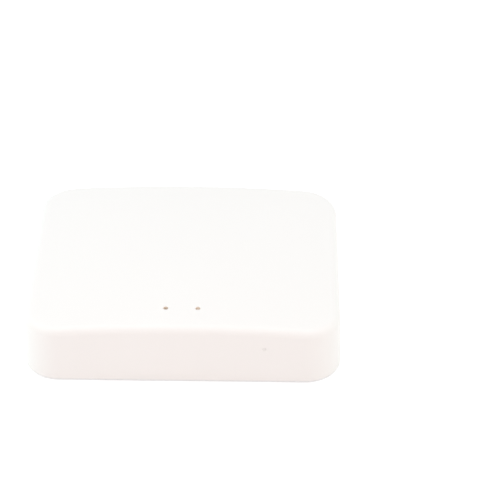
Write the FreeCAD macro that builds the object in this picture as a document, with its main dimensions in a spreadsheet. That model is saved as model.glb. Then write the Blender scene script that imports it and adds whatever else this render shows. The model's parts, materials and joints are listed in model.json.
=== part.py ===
import FreeCAD, Part
import Sketcher
import math
import os
import re

# A small desk gateway for smart home sensors: a crowned white case 90 mm wide, 70 mm deep and
# 20 mm high on four rubber feet, with two status lamps, a reset button and a power inlet.
# Millimetres, +Z up, front towards -Y. The origin is on the table, at the middle of the footprint.

doc = FreeCAD.newDocument("gateway")
sheet = doc.addObject("Spreadsheet::Sheet", "Sizes")

values = {
    # Case, measured from the plane of its lower rim
    "case_width": 90.0,
    "case_depth": 70.0,
    "case_height": 19.6,
    "corner_radius": 10.2,
    "draft_angle": 1.7,
    "crown_across": 494.0,
    "crown_along": 652.0,
    "crown_reach": 15.0,
    "edge_round": 2.2,
    "rim_round": 0.5,
    "side_wall": 2.0,
    "roof_wall": 2.0,
    "inner_round": 0.9,
    # How far a cutting outline stands past what it cuts
    "cut_over": 1.5,
    # Joint between the two covers
    "lap_wall": 1.1,
    "lap_height": 1.8,
    "cover_gap": 0.15,
    "lip_wall": 1.1,
    "lip_height": 2.2,
    # Ribs under the roof and on the floor
    "rib_wall": 1.0,
    "roof_rib_drop": 4.8,
    "roof_rib_across": 11.0,
    "roof_rib_along": 17.0,
    "rib_end": 6.0,
    "gusset_drop": 5.0,
    "floor_rib": 1.4,
    # Case screws and the bosses that they join
    "boss_inset": 8.5,
    "boss_radius": 2.8,
    "boss_foot": 4.3,
    "seat_gap": 0.1,
    "pilot_radius": 1.0,
    "pilot_depth": 10.0,
    "thread_gap": 0.06,
    "screw_hole": 1.3,
    "pillar_radius": 3.9,
    "case_head_radius": 2.1,
    "case_head_height": 1.5,
    "head_gap": 0.25,
    "case_screw_reach": 7.5,
    "drive_width": 0.6,
    "drive_length": 2.4,
    "drive_depth": 0.8,
    "head_crown": 0.7,
    "head_shoulder": 0.55,
    "tip_point": 0.3,
    # Rubber feet
    "foot_radius": 4.0,
    "foot_height": 1.0,
    "foot_recess": 0.6,
    "foot_gap": 0.15,
    "foot_round": 0.25,
    # Circuit board and its posts
    "board_margin": 3.5,
    "board_gap": 0.6,
    "board_thick": 1.6,
    "board_drop": 11.0,
    "post_inset": 8.0,
    "post_y": 15.0,
    "post_radius": 2.6,
    "post_pilot": 0.8,
    "post_depth": 4.5,
    "board_hole": 1.15,
    "board_head_radius": 1.9,
    "board_head_height": 1.2,
    "board_screw_reach": 5.0,
    # Status lamps under the roof
    "lamp_x": 4.5,
    "lamp_inset": 9.25,
    "lamp_hole": 0.8,
    "lamp_recess": 0.6,
    "lamp_width": 2.0,
    "lamp_depth": 1.25,
    "lamp_base": 0.4,
    "lens_width": 1.4,
    "lens_depth": 1.1,
    "lens_height": 0.45,
    "pipe_gap": 0.05,
    "pipe_collar": 1.4,
    "pipe_collar_height": 1.5,
    "pipe_stem": 1.1,
    "pipe_bevel": 0.25,
    "pipe_lift": 0.4,
    "tube_radius": 2.2,
    "tube_drop": 8.6,
    # Reset button and its switch
    "reset_inset": 21.8,
    "reset_rise": 3.25,
    "reset_nose": 0.45,
    "reset_gap": 0.06,
    "reset_recess": 0.06,
    "reset_collar": 1.2,
    "reset_collar_length": 1.35,
    "reset_rod": 0.8,
    "reset_travel": 0.25,
    "guide_radius": 2.3,
    "guide_length": 1.9,
    "switch_width": 6.0,
    "switch_height": 6.2,
    "switch_depth": 3.4,
    "switch_setback": 5.65,
    "switch_bore": 1.8,
    "switch_bore_depth": 2.4,
    "plunger_radius": 1.7,
    "plunger_proud": 0.8,
    "plunger_bevel": 0.15,
    "dome_radius": 1.5,
    "dome_flank": 0.9,
    "dome_rise": 0.5,
    "dome_shoulder": 0.38,
    "dome_sheet": 0.12,
    "dome_spare": 0.05,
    "cover_sheet": 0.3,
    "cover_arm": 2.7,
    "window_gap": 0.2,
    # Power inlet
    "inlet_x": 0.0,
    "inlet_width": 7.5,
    "inlet_height": 2.7,
    "inlet_floor": 5.6,
    "inlet_shoulder": 0.95,
    "inlet_length": 5.2,
    "inlet_sheet": 0.3,
    "inlet_slant": 0.4,
    "block_gap": 0.02,
    "inlet_setback": 0.15,
    "inlet_tab": 1.1,
    "tab_root": 0.3,
    "tab_length": 1.6,
    "tab_setback": 2.8,
    "inlet_gap": 0.4,
    "inlet_block": 1.5,
    "tongue_width": 3.6,
    "tongue_thick": 0.65,
    "tongue_lift": 0.2,
    "tongue_setback": 0.7,
    "recess_width": 11.8,
    "recess_height": 7.6,
    "recess_depth": 0.9,
    "recess_round": 1.4,
    # Radio and network modules
    "module_thick": 0.8,
    "radio_x": -20.0,
    "radio_y": -3.0,
    "radio_width": 16.0,
    "radio_depth": 24.0,
    "network_x": 20.0,
    "network_y": 0.0,
    "network_width": 18.0,
    "network_depth": 25.5,
    "shield_inset": 1.0,
    "shield_height": 2.3,
    "shield_sheet": 0.3,
    "shield_round": 0.8,
    "aerial_length": 6.5,
    "notch_radius": 0.4,
    "notch_pitch": 2.0,
    "notch_count": 7,
    # Power supply and other circuit parts
    "can_radius": 3.15,
    "can_height": 5.0,
    "can_round": 0.5,
    "can_groove": 0.35,
    "can_seat": 0.8,
    "can_base": 6.6,
    "can_corner": 1.4,
    "can_x": 21.0,
    "can_inset": 13.0,
    "supply_inset": 14.0,
    "choke_width": 6.0,
    "choke_height": 2.8,
    "choke_corner": 1.0,
    "choke_bevel": 0.3,
    "choke_x": -11.0,
    "ring_outer": 2.2,
    "ring_inner": 1.7,
    "ring_depth": 0.3,
    "chip_stand": 0.15,
    "lead_wall": 0.2,
    "lead_width": 0.4,
    "lead_root": 0.1,
    "lead_knee": 0.4,
    "lead_reach": 1.0,
    "regulator_x": 10.5,
    "regulator_width": 3.5,
    "regulator_depth": 4.0,
    "regulator_height": 1.5,
    "regulator_pitch": 1.1,
    "regulator_leads": 3,
    "memory_x": 0.0,
    "memory_y": 11.0,
    "memory_width": 3.9,
    "memory_depth": 4.9,
    "memory_height": 1.6,
    "memory_pitch": 1.27,
    "memory_leads": 4,
    "main_chip_x": 0.0,
    "main_chip_y": -8.0,
    "main_chip_width": 7.0,
    "main_chip_height": 0.9,
    "dot_inset": 1.0,
    "dot_radius": 0.4,
    "dot_depth": 0.1,
    "crystal_x": 0.0,
    "crystal_y": 1.5,
    "crystal_width": 9.6,
    "crystal_depth": 4.0,
    "crystal_height": 3.0,
    "crystal_round": 1.8,
    "crystal_flange": 0.5,
    "crystal_edge": 0.4,
    "chip_width": 1.6,
    "chip_depth": 0.8,
    "chip_height": 0.6,
    "chip_spacing": 2.4,
    "chip_row": 4,
    # Height of the rim above the table
    "foot_proud": 0.4,
}

for row, (alias, value) in enumerate(values.items(), 1):
    sheet.set("A%d" % row, alias)
    sheet.set("B%d" % row, str(value))
    sheet.setAlias("B%d" % row, alias)
doc.recompute()

pieces = []


# The names of cells in a formula become references to the sheet.
def formula(text):
    return re.sub(r"[a-z][a-z_]+", lambda m: "Sizes." + m[0] if m[0] in values else m[0], text)


def size(text):
    return float(sheet.evalExpression(formula(text)))


def bind(item, **formulas):
    for name, text in formulas.items():
        item.setExpression(name, formula(text))


def place(item, x="0", y="0", z="0"):
    for axis, text in zip("xyz", (x, y, z)):
        item.setExpression("Placement.Base." + axis, formula(text))


def new_body(label):
    body = doc.addObject("PartDesign::Body", label)
    body.Label = label
    return body


def finish(item, x="0", y="0", z="foot_proud"):
    place(item, x, y, z)
    pieces.append(item)


# A sketch on one of a body's own planes. Its outlines are held by formulas of the sheet.
class Drawing:
    def __init__(self, body, name, plane="XY_Plane", level="0"):
        self.sketch = body.newObject("Sketcher::SketchObject", name)
        origin = [item for item in body.Origin.OriginFeatures if item.Role == plane][0]
        self.sketch.AttachmentSupport = (origin, [""])
        self.sketch.MapMode = "FlatFace"
        self.sketch.setExpression("AttachmentOffset.Base.z", formula(level))
        self.tags = 0

    def hold(self, kind, places, text):
        self.tags += 1
        name = "%s_%d" % (kind.lower(), self.tags)
        index = self.sketch.addConstraint(Sketcher.Constraint(kind, *places, size(text)))
        self.sketch.renameConstraint(index, name)
        self.sketch.setExpression("Constraints." + name, formula(text))

    def hold_point(self, item, end, x, y):
        self.hold("DistanceX", (-1, 1, item, end), x)
        self.hold("DistanceY", (-1, 1, item, end), y)

    def relate(self, *relations):
        self.sketch.addConstraint([Sketcher.Constraint(*relation) for relation in relations])

    def circle(self, x, y, radius):
        centre = FreeCAD.Vector(size(x), size(y), 0)
        shape = Part.Circle(centre, FreeCAD.Vector(0, 0, 1), size(radius))
        item = self.sketch.addGeometry(shape, False)
        self.hold("Radius", (item,), radius)
        self.hold_point(item, 3, x, y)
        return self

    def polygon(self, *corners):
        points = [FreeCAD.Vector(size(x), size(y), 0) for x, y in corners]
        following = points[1:] + points[:1]
        lines = [Part.LineSegment(a, b) for a, b in zip(points, following)]
        first = self.sketch.GeometryCount
        count = len(lines)
        self.sketch.addGeometry(lines, False)
        self.relate(*[("Coincident", first + k, 2, first + (k + 1) % count, 1) for k in range(count)])
        for k, (x, y) in enumerate(corners):
            self.hold_point(first + k, 1, x, y)
        return self

    def rectangle(self, x, y, width, depth):
        left, right = "%s - (%s) / 2" % (x, width), "%s + (%s) / 2" % (x, width)
        front, back = "%s - (%s) / 2" % (y, depth), "%s + (%s) / 2" % (y, depth)
        return self.polygon((left, front), (right, front), (right, back), (left, back))

    def rounded(self, x, y, width, depth, radius):
        middle = FreeCAD.Vector(size(x), size(y), 0)
        half_width, half_depth, bend = size(width) / 2, size(depth) / 2, size(radius)
        across, along = half_width - bend, half_depth - bend
        shapes = []
        for quarter in range(4):
            spin = FreeCAD.Rotation(FreeCAD.Vector(0, 0, 1), 90 * quarter)
            reach = (half_width, half_depth)[(quarter + 1) % 2]
            run = (across, along)[quarter % 2]
            side = Part.LineSegment(
                middle + spin.multVec(FreeCAD.Vector(-run, -reach, 0)),
                middle + spin.multVec(FreeCAD.Vector(run, -reach, 0)))
            centre = middle + spin.multVec(FreeCAD.Vector(run, bend - reach, 0))
            start = math.radians(90 * quarter - 90)
            circle = Part.Circle(centre, FreeCAD.Vector(0, 0, 1), bend)
            shapes += [side, Part.ArcOfCircle(circle, start, start + math.pi / 2)]
        first = self.sketch.GeometryCount
        self.sketch.addGeometry(shapes, False)
        self.relate(*[("Tangent", first + k, 2, first + (k + 1) % 8, 1) for k in range(8)])
        self.relate(("Horizontal", first), ("Vertical", first + 2))
        self.relate(("Horizontal", first + 4), ("Vertical", first + 6))
        self.relate(*[("Equal", first + 1, first + k) for k in (3, 5, 7)])
        self.hold("Radius", (first + 1,), radius)
        self.hold("DistanceY", (-1, 1, first, 1), "%s - (%s) / 2" % (y, depth))
        self.hold("DistanceX", (-1, 1, first + 2, 1), "%s + (%s) / 2" % (x, width))
        self.hold("DistanceY", (-1, 1, first + 4, 1), "%s + (%s) / 2" % (y, depth))
        self.hold("DistanceX", (-1, 1, first + 6, 1), "%s - (%s) / 2" % (x, width))
        return self


def feature(body, kind, name, drawing):
    item = body.newObject("PartDesign::" + kind, name)
    item.Profile = drawing.sketch
    body.Tip = item
    return item


def pad(body, name, drawing, length, taper=None, backwards=False):
    item = feature(body, "Pad", name, drawing)
    item.Reversed = backwards
    bind(item, Length=length)
    if taper:
        bind(item, TaperAngle="-" + taper)
    doc.recompute()
    return item


# A cut goes against the sketch's normal, or along it when it is backwards. A cut that would
# miss the body stops the script.
def pocket(body, name, drawing, length=None, backwards=False):
    before = body.Shape.Volume
    item = feature(body, "Pocket", name, drawing)
    item.Reversed = backwards
    if length:
        bind(item, Length=length)
    else:
        item.Type = "ThroughAll"
    doc.recompute()
    if body.Shape.Volume >= before:
        raise RuntimeError(name + " cuts nothing")
    return item


def turn(body, name, drawing, axis="V_Axis"):
    item = feature(body, "Revolution", name, drawing)
    item.ReferenceAxis = (drawing.sketch, [axis])
    item.Angle = 360
    doc.recompute()
    return item


def dress(body, kind, name, amount, choose):
    base = body.Tip
    shape = base.Shape
    chosen = choose(shape)
    names = ["Edge%d" % number for number, edge in enumerate(shape.Edges, 1) if chosen(edge)]
    item = body.newObject("PartDesign::" + kind, name)
    item.Base = (base, names)
    bind(item, **{"Radius" if kind == "Fillet" else "Size": amount})
    body.Tip = item
    doc.recompute()
    return item


# One lead or notch becomes a row of them, and the row is mirrored to the other side.
def row_on_both_sides(body, first, drawing, axis, pitch, count, backwards=False):
    row = body.newObject("PartDesign::LinearPattern", first.Name + "_row")
    row.Direction = (drawing.sketch, [axis])
    row.Reversed = backwards
    bind(row, Length="%s * (%s - 1)" % (pitch, count), Occurrences=count)
    mirror = body.newObject("PartDesign::Mirrored", first.Name + "_mirror")
    mirror.MirrorPlane = (drawing.sketch, ["V_Axis"])
    both = body.newObject("PartDesign::MultiTransform", first.Name + "_rows")
    both.Originals = [first]
    both.Transformations = [row, mirror]
    body.Tip = both
    doc.recompute()


def level_edges(height, low="ZMin", high="ZMax"):
    level = size(height)

    def lies_level(edge):
        return abs(getattr(edge.BoundBox, low) - level) + abs(getattr(edge.BoundBox, high) - level) < 1e-6
    return lambda shape: lies_level


def crown_edges(shape):
    roof = max(shape.Faces, key=lambda face: face.CenterOfMass.z)
    return lambda edge: any(edge.isSame(other) for other in roof.Edges)


corners = {"front_left": (-1, -1), "front_right": (1, -1), "back_left": (-1, 1), "back_right": (1, 1)}
boss_x = "(case_width / 2 - boss_inset)"
boss_y = "(case_depth / 2 - boss_inset)"
post_x = "(case_width / 2 - post_inset)"
board_top = "(case_height - board_drop)"
board_under = "(%s - board_thick)" % board_top
supply_y = "(case_depth / 2 - supply_inset)"
can_y = "(case_depth / 2 - can_inset)"
lamp_y = "(case_depth / 2 - lamp_inset)"
lamp_crown = "(case_height - crown_along + sqrt(crown_along * crown_along - %s * %s))" % (lamp_y, lamp_y)
tube_foot = "(case_height - tube_drop)"
rib_foot = "(case_height - roof_rib_drop)"
reset_x = "(case_width / 2 - reset_inset)"
reset_height = "(%s + reset_rise)" % board_top
reset_wall = "(case_depth / 2 - %s * tan(draft_angle))" % reset_height
reset_inside = "(%s - side_wall)" % reset_wall
dome_gap = "(reset_travel + dome_spare)"
plunger_back = "(switch_bore_depth - dome_rise - %s)" % dome_gap
switch_front = "(case_depth / 2 - switch_setback)"
inlet_middle = "(%s + inlet_height / 2)" % board_top
inlet_wall = "(case_depth / 2 - %s * tan(draft_angle))" % inlet_middle
inlet_mouth = "(%s - recess_depth - inlet_setback)" % inlet_wall


# The roof is crowned both ways: an arc across the case is swept along a larger arc from front
# to back, and everything above that surface is cut away.
def crown(body, inset):
    drawing = Drawing(body, body.Name + "_crown", "XZ_Plane")
    sketch = drawing.sketch
    bend = "(crown_across - %s)" % inset
    reach = "(case_width / 2 + crown_reach)"
    above = "(case_height + 2 * cut_over)"
    middle = size("case_height - crown_across")
    half_turn = math.asin(size(reach) / size(bend))
    centre = FreeCAD.Vector(0, middle, 0)
    circle = Part.Circle(centre, FreeCAD.Vector(0, 0, 1), size(bend))
    arc = Part.ArcOfCircle(circle, math.pi / 2 - half_turn, math.pi / 2 + half_turn)
    left, right = -size(reach), size(reach)
    low, high = arc.StartPoint.y, size(above)
    axis_height = size("case_height - crown_along")
    sketch.addGeometry([
        arc,
        Part.LineSegment(FreeCAD.Vector(left, low, 0), FreeCAD.Vector(left, high, 0)),
        Part.LineSegment(FreeCAD.Vector(left, high, 0), FreeCAD.Vector(right, high, 0)),
        Part.LineSegment(FreeCAD.Vector(right, high, 0), FreeCAD.Vector(right, low, 0))], False)
    axis_ends = FreeCAD.Vector(left, axis_height, 0), FreeCAD.Vector(right, axis_height, 0)
    sketch.addGeometry(Part.LineSegment(*axis_ends), True)
    drawing.relate(*[("Coincident", k, 2, (k + 1) % 4, 1) for k in range(4)])
    drawing.relate(("Vertical", 1), ("Vertical", 3), ("Horizontal", 2), ("PointOnObject", 0, 3, -2))
    drawing.hold("Radius", (0,), bend)
    drawing.hold("DistanceY", (-1, 1, 0, 3), "case_height - crown_across")
    drawing.hold_point(1, 2, "-" + reach, above)
    drawing.hold("DistanceX", (-1, 1, 3, 2), reach)
    drawing.hold_point(4, 1, "-" + reach, "case_height - crown_along")
    drawing.hold_point(4, 2, reach, "case_height - crown_along")
    groove = feature(body, "Groove", body.Name + "_crowned", drawing)
    groove.ReferenceAxis = (sketch, ["Axis0"])
    groove.Midplane = True
    bind(groove, Angle="4 * asin(case_depth / 2 / crown_along)")
    doc.recompute()


# Outside of the top cover, solid: walls with draft, crowned roof, soft edges and the openings
def cover_outside():
    body = new_body("cover_outside")
    outline = Drawing(body, "case_outline")
    outline.rounded("0", "0", "case_width", "case_depth", "corner_radius")
    pad(body, "case_block", outline, "case_height + cut_over / 2", "draft_angle")
    crown(body, "0")
    dress(body, "Fillet", "case_edge", "edge_round", crown_edges)
    dress(body, "Fillet", "case_rim", "rim_round", level_edges("0"))

    holes = Drawing(body, "lamp_holes", level=tube_foot)
    for side in ("-lamp_x", "lamp_x"):
        holes.circle(side, "-" + lamp_y, "lamp_hole")
    pocket(body, "lamp_openings", holes, backwards=True)

    button = Drawing(body, "reset_hole", "XZ_Plane", reset_inside + " - cut_over")
    button.circle(reset_x, reset_height, "reset_nose + reset_gap")
    pocket(body, "reset_opening", button, "side_wall + 2 * cut_over", backwards=True)

    recess = Drawing(body, "inlet_recess", "XZ_Plane", "-(%s - recess_depth)" % inlet_wall)
    recess.rounded("inlet_x", inlet_middle, "recess_width", "recess_height", "recess_round")
    pocket(body, "inlet_recessed", recess, "recess_depth + cut_over")

    mouth = Drawing(body, "inlet_hole", "XZ_Plane", "-(%s - side_wall - cut_over)" % inlet_wall)
    mouth.rounded("inlet_x", inlet_middle, "inlet_width + 2 * inlet_gap",
                  "inlet_height + 2 * inlet_gap", "inlet_shoulder")
    pocket(body, "inlet_opening", mouth, "side_wall + 2 * cut_over")
    return body


# Inside of the top cover, as the core that it is moulded over: what is cut out of this core
# becomes a boss, a rib or a tube of the cover, and what stands on it becomes a bore.
def cover_core():
    body = new_body("cover_core")
    inner = Drawing(body, "core_outline")
    inner.rounded("0", "0", "case_width - 2 * side_wall", "case_depth - 2 * side_wall",
                  "corner_radius - side_wall")
    pad(body, "core_block", inner, "case_height + cut_over / 2", "draft_angle")
    crown(body, "roof_wall")
    dress(body, "Fillet", "core_edge", "inner_round", crown_edges)

    rebate = Drawing(body, "core_rebate")
    rebate.rounded("0", "0", "case_width - 2 * lap_wall", "case_depth - 2 * lap_wall",
                   "corner_radius - lap_wall")
    pad(body, "core_lap", rebate, "lap_height")

    gussets = Drawing(body, "core_gussets", level="boss_foot + gusset_drop")
    for across, along in corners.values():
        x, y = "%d * %s" % (across, boss_x), "%d * %s" % (along, boss_y)
        length = "2 * boss_inset"
        gussets.rectangle(x, "%s + %d * boss_inset" % (y, along), "rib_wall", length)
    pocket(body, "core_gussets_back", gussets, backwards=True)
    side_gussets = Drawing(body, "core_side_gussets", level="boss_foot + gusset_drop")
    for across, along in corners.values():
        x, y = "%d * %s" % (across, boss_x), "%d * %s" % (along, boss_y)
        side_gussets.rectangle("%s + %d * boss_inset" % (x, across), y, "2 * boss_inset", "rib_wall")
    pocket(body, "core_gussets_side", side_gussets, backwards=True)

    bosses = Drawing(body, "core_bosses", level="boss_foot")
    for across, along in corners.values():
        bosses.circle("%d * %s" % (across, boss_x), "%d * %s" % (along, boss_y), "boss_radius")
    pocket(body, "core_boss_bores", bosses, backwards=True)
    pilots = Drawing(body, "core_pilots")
    for across, along in corners.values():
        pilots.circle("%d * %s" % (across, boss_x), "%d * %s" % (along, boss_y), "pilot_radius")
    pad(body, "core_pilot_pins", pilots, "boss_foot + pilot_depth")

    across = Drawing(body, "core_ribs_across", level=rib_foot)
    along = Drawing(body, "core_ribs_along", level=rib_foot)
    for side in (-1, 1):
        across.rectangle("0", "%d * roof_rib_across" % side,
                         "case_width - 2 * (side_wall + rib_end)", "rib_wall")
        along.rectangle("%d * roof_rib_along" % side, "0",
                        "rib_wall", "case_depth - 2 * (side_wall + rib_end)")
    pocket(body, "core_rib_slots_across", across, backwards=True)
    pocket(body, "core_rib_slots_along", along, backwards=True)

    tubes = Drawing(body, "core_tubes", level=tube_foot)
    bores = Drawing(body, "core_bores")
    for side in ("-lamp_x", "lamp_x"):
        tubes.circle(side, "-" + lamp_y, "tube_radius")
        bores.circle(side, "-" + lamp_y, "pipe_collar + pipe_gap")
    pocket(body, "core_tube_bores", tubes, backwards=True)
    pad(body, "core_bore_pins", bores, lamp_crown + " - roof_wall")

    guide = Drawing(body, "core_guide", "XZ_Plane", reset_inside + " - guide_length")
    guide.circle(reset_x, reset_height, "guide_radius")
    pocket(body, "core_guide_ring", guide, "guide_length + cut_over", backwards=True)
    bore = Drawing(body, "core_guide_hole", "XZ_Plane", reset_inside + " - guide_length - reset_gap")
    bore.circle(reset_x, reset_height, "reset_collar + reset_gap")
    pad(body, "core_guide_pin", bore, "guide_length + reset_gap")
    return body


def top_cover():
    cover = doc.addObject("Part::Cut", "top_cover")
    cover.Label = "top_cover"
    cover.Base = cover_outside()
    cover.Tool = cover_core()
    finish(cover)


# The floor of the case sits in the rebate of the top cover, and its lip centres the two.
def base_cover():
    body = new_body("base_cover")
    floor = Drawing(body, "floor_outline")
    floor.rounded("0", "0", "case_width - 2 * (lap_wall + cover_gap)",
                  "case_depth - 2 * (lap_wall + cover_gap)", "corner_radius - lap_wall - cover_gap")
    pad(body, "floor_plate", floor, "lap_height")

    lip = Drawing(body, "lip_outline", level="lap_height")
    for extra in ("cover_gap", "(cover_gap + lip_wall)"):
        inset = "(side_wall + lap_height * tan(draft_angle) + %s)" % extra
        lip.rounded("0", "0", "case_width - 2 * " + inset, "case_depth - 2 * " + inset,
                    "corner_radius - " + inset)
    pad(body, "lip", lip, "lip_height", "draft_angle")

    ribs = Drawing(body, "floor_rib_outline", level="lap_height")
    ribs.rectangle("0", "post_y", "2 * " + post_x, "rib_wall")
    ribs.rectangle("0", "-post_y", "2 * " + post_x, "rib_wall")
    pad(body, "floor_ribs", ribs, "floor_rib")
    cross_ribs = Drawing(body, "cross_rib_outline", level="lap_height")
    cross_ribs.rectangle(post_x + " / 2", "0", "rib_wall", "2 * post_y")
    cross_ribs.rectangle("-%s / 2" % post_x, "0", "rib_wall", "2 * post_y")
    pad(body, "cross_ribs", cross_ribs, "floor_rib")

    pillars = Drawing(body, "pillar_outline")
    posts = Drawing(body, "post_outline")
    recesses = Drawing(body, "foot_recesses")
    heads = Drawing(body, "head_recesses")
    holes = Drawing(body, "screw_holes")
    pilots = Drawing(body, "post_pilots", level=board_under + " - post_depth")
    for across, along in corners.values():
        x, y = "%d * %s" % (across, boss_x), "%d * %s" % (along, boss_y)
        pillars.circle(x, y, "pillar_radius")
        recesses.circle(x, y, "foot_radius + foot_gap")
        heads.circle(x, y, "case_head_radius + head_gap")
        holes.circle(x, y, "screw_hole")
        x, y = "%d * %s" % (across, post_x), "%d * post_y" % along
        posts.circle(x, y, "post_radius")
        pilots.circle(x, y, "post_pilot")
    pad(body, "pillars", pillars, "boss_foot - seat_gap")
    pad(body, "posts", posts, board_under)
    pocket(body, "foot_seats", recesses, "foot_recess", backwards=True)
    pocket(body, "head_seats", heads, "foot_recess + case_head_height", backwards=True)
    pocket(body, "screw_passages", holes, backwards=True)
    pocket(body, "post_bores", pilots, backwards=True)
    finish(body)


def foot(label, across, along):
    body = new_body(label)
    profile = Drawing(body, label + "_profile", "XZ_Plane")
    profile.polygon(("0", "0"), ("foot_radius - foot_round", "0"), ("foot_radius", "foot_round"),
                    ("foot_radius", "foot_height"), ("0", "foot_height"))
    turn(body, label + "_disc", profile)
    finish(body, "%d * %s" % (across, boss_x), "%d * %s" % (along, boss_y),
           "foot_proud + foot_recess - foot_height")


# A pan head screw with a cross recess, its head's seat at its own origin and its shank upwards
def screw(label, head_radius, head_height, shank_radius, reach):
    body = new_body(label)
    profile = Drawing(body, label + "_profile", "XZ_Plane")
    profile.polygon(("0", "-" + head_height), (head_radius + " * head_crown", "-" + head_height),
                    (head_radius, "-%s * head_shoulder" % head_height), (head_radius, "0"),
                    (shank_radius, "0"), (shank_radius, "%s - %s" % (reach, shank_radius)),
                    (shank_radius + " * tip_point", reach), ("0", reach))
    turn(body, label + "_turned", profile)
    for number, sides in enumerate((("drive_length", "drive_width"), ("drive_width", "drive_length"))):
        slot = Drawing(body, "%s_slot_%d" % (label, number), level="-" + head_height)
        slot.rectangle("0", "0", *sides)
        pocket(body, "%s_drive_%d" % (label, number), slot, "drive_depth", backwards=True)
    return body


def fasteners():
    for label, (across, along) in corners.items():
        body = screw("case_screw_" + label, "case_head_radius", "case_head_height",
                     "(pilot_radius - thread_gap)", "(case_screw_reach + boss_foot)")
        finish(body, "%d * %s" % (across, boss_x), "%d * %s" % (along, boss_y),
               "foot_proud + foot_recess + case_head_height")
        body = screw("board_screw_" + label, "board_head_radius", "board_head_height",
                     "(post_pilot - thread_gap)", "board_screw_reach")
        body.Placement = FreeCAD.Placement(FreeCAD.Vector(), FreeCAD.Rotation(FreeCAD.Vector(1, 0, 0), 180))
        finish(body, "%d * %s" % (across, post_x), "%d * post_y" % along, "foot_proud + " + board_top)


def main_board():
    body = new_body("main_board")
    outline = Drawing(body, "board_outline")
    wide, deep = "(case_width / 2 - board_margin)", "(case_depth / 2 - board_margin)"
    narrow = "(%s - pillar_radius - board_gap)" % boss_x
    shallow = "(%s - pillar_radius - board_gap)" % boss_y
    outline.polygon(
        ("-" + narrow, "-" + deep), (narrow, "-" + deep), (narrow, "-" + shallow), (wide, "-" + shallow),
        (wide, shallow), (narrow, shallow), (narrow, deep), ("-" + narrow, deep),
        ("-" + narrow, shallow), ("-" + wide, shallow), ("-" + wide, "-" + shallow),
        ("-" + narrow, "-" + shallow))
    for across, along in corners.values():
        outline.circle("%d * %s" % (across, post_x), "%d * post_y" % along, "board_hole")
    pad(body, "board_plate", outline, "board_thick")
    finish(body, z="foot_proud + " + board_under)


# A module is a thin board with half-round solder notches down both long sides, and a drawn
# metal can over its circuits. The end that the can leaves bare carries the printed aerial.
def module(name):
    body = new_body(name + "_board")
    width, depth = name + "_width", name + "_depth"
    outline = Drawing(body, name + "_outline")
    outline.rectangle("0", "0", width, depth)
    pad(body, name + "_plate", outline, "module_thick")
    notch = Drawing(body, name + "_notch")
    notch.circle(width + " / 2", "shield_inset - %s / 2" % depth, "notch_radius")
    first = pocket(body, name + "_first_notch", notch, backwards=True)
    row_on_both_sides(body, first, notch, "V_Axis", "notch_pitch", "notch_count")
    finish(body, name + "_x", name + "_y", "foot_proud + " + board_top)

    can = new_body(name + "_shield")
    can_width = "(%s - 2 * shield_inset)" % width
    can_depth = "(%s - aerial_length - shield_inset)" % depth
    outside = Drawing(can, name + "_can")
    outside.rounded("0", "0", can_width, can_depth, "shield_round")
    pad(can, name + "_can_block", outside, "shield_height")
    dress(can, "Fillet", name + "_can_edge", "shield_round / 2", level_edges("shield_height"))
    inside = Drawing(can, name + "_can_inside")
    inside.rounded("0", "0", can_width + " - 2 * shield_sheet", can_depth + " - 2 * shield_sheet",
                   "shield_round - shield_sheet")
    pocket(can, name + "_can_hollow", inside, "shield_height - shield_sheet", backwards=True)
    finish(can, name + "_x", "%s_y + (shield_inset - aerial_length) / 2" % name,
           "foot_proud + module_thick + " + board_top)


# The inlet's shell is a folded metal tube with two slanted lower corners and solder tabs.
def inlet_section(drawing, inset):
    half = "(inlet_width / 2 - %s)" % inset
    low_half = "(inlet_floor / 2 - %s * inlet_slant)" % inset
    top, bottom = "(inlet_height - %s)" % inset, inset
    drawing.polygon(("-" + low_half, bottom), (low_half, bottom), (half, "inlet_shoulder"), (half, top),
                    ("-" + half, top), ("-" + half, "inlet_shoulder"))


def power_inlet():
    shell = new_body("inlet_shell")
    outside = Drawing(shell, "inlet_outside", "XZ_Plane")
    inlet_section(outside, "0")
    pad(shell, "inlet_tube", outside, "inlet_length")
    inside = Drawing(shell, "inlet_inside", "XZ_Plane", "inlet_length")
    inlet_section(inside, "inlet_sheet")
    pocket(shell, "inlet_hollow", inside)
    tabs = Drawing(shell, "inlet_tabs")
    span = "(inlet_width / 2 + inlet_tab)"
    reach = "(inlet_width / 2 + inlet_tab - inlet_floor / 2 + tab_root)"
    for side in ("-1", "1"):
        middle = "%s * (%s - %s / 2)" % (side, span, reach)
        tabs.rectangle(middle, "-tab_setback - tab_length / 2", reach, "tab_length")
    pad(shell, "inlet_feet", tabs, "inlet_sheet")
    finish(shell, "inlet_x", inlet_mouth, "foot_proud + " + board_top)

    tongue = new_body("inlet_tongue")
    block = Drawing(tongue, "tongue_block", "XZ_Plane", "inlet_length - inlet_block")
    inlet_section(block, "(inlet_sheet + block_gap)")
    pad(tongue, "tongue_back", block, "inlet_block")
    blade = Drawing(tongue, "tongue_blade", "XZ_Plane", "tongue_setback")
    blade.rectangle("0", "inlet_height / 2 + tongue_lift", "tongue_width", "tongue_thick")
    pad(tongue, "tongue_plate", blade, "inlet_length - inlet_block / 2 - tongue_setback")
    finish(tongue, "inlet_x", inlet_mouth, "foot_proud + " + board_top)


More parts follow.
